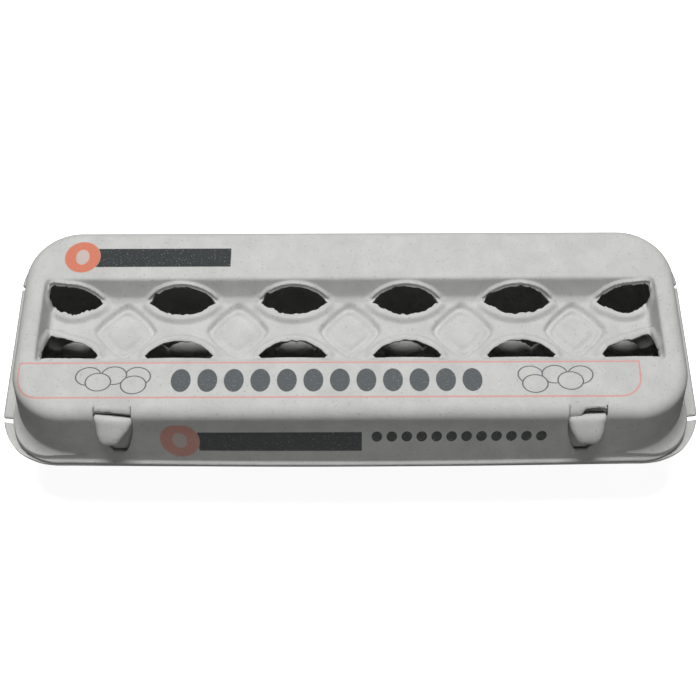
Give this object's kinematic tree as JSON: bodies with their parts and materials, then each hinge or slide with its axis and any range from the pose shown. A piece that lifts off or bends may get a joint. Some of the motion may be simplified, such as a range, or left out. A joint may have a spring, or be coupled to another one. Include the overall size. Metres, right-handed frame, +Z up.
{
  "type": "egg carton",
  "caption": "Closed moulded-pulp carton with a lid, view windows in a sunken trough, egg cups and a folded locking flap with latch buttons.",
  "frame": {"origin": "on the table under the middle of the carton", "axes": "+X along the carton to the right, +Y to the hinge at the back, +Z up"},
  "size_m": [0.3012, 0.1104, 0.068],
  "materials": {
    "pulp": "matt, fibrous light-grey moulded pulp"
  },
  "bodies": {
    "tray": {"egg_cup_back_1": "pulp", "egg_cup_back_2": "pulp", "egg_cup_back_3": "pulp", "egg_cup_back_4": "pulp", "egg_cup_back_5": "pulp", "egg_cup_back_6": "pulp", "egg_cup_front_1": "pulp", "egg_cup_front_2": "pulp", "egg_cup_front_3": "pulp", "egg_cup_front_4": "pulp", "egg_cup_front_5": "pulp", "egg_cup_front_6": "pulp", "divider_post_1": "pulp", "divider_post_2": "pulp", "divider_post_3": "pulp", "divider_post_4": "pulp", "divider_post_5": "pulp", "tray_rim": "pulp", "hinge_crease": "pulp", "flap_crease": "pulp"},
    "lid": {"lid_shell": "pulp", "window_trough": "pulp"},
    "flap": {"locking_flap": "pulp", "latch_button_left": "pulp", "latch_button_right": "pulp"}
  },
  "joints": [
    {"name": "lid_hinge", "type": "hinge", "parent": "tray", "child": "lid", "pos_m": [0, 0.054, 0.038], "axis": [-1, 0, 0], "range_deg": [0, 179], "deforming": ["latch_button_left", "latch_button_right"]},
    {"name": "flap_fold", "type": "hinge", "parent": "tray", "child": "flap", "pos_m": [0, -0.0492, 0.0387], "axis": [-1, 0, 0], "range_deg": [0, 28], "stiffness_Nm_per_rad": 0.01}
  ]
}
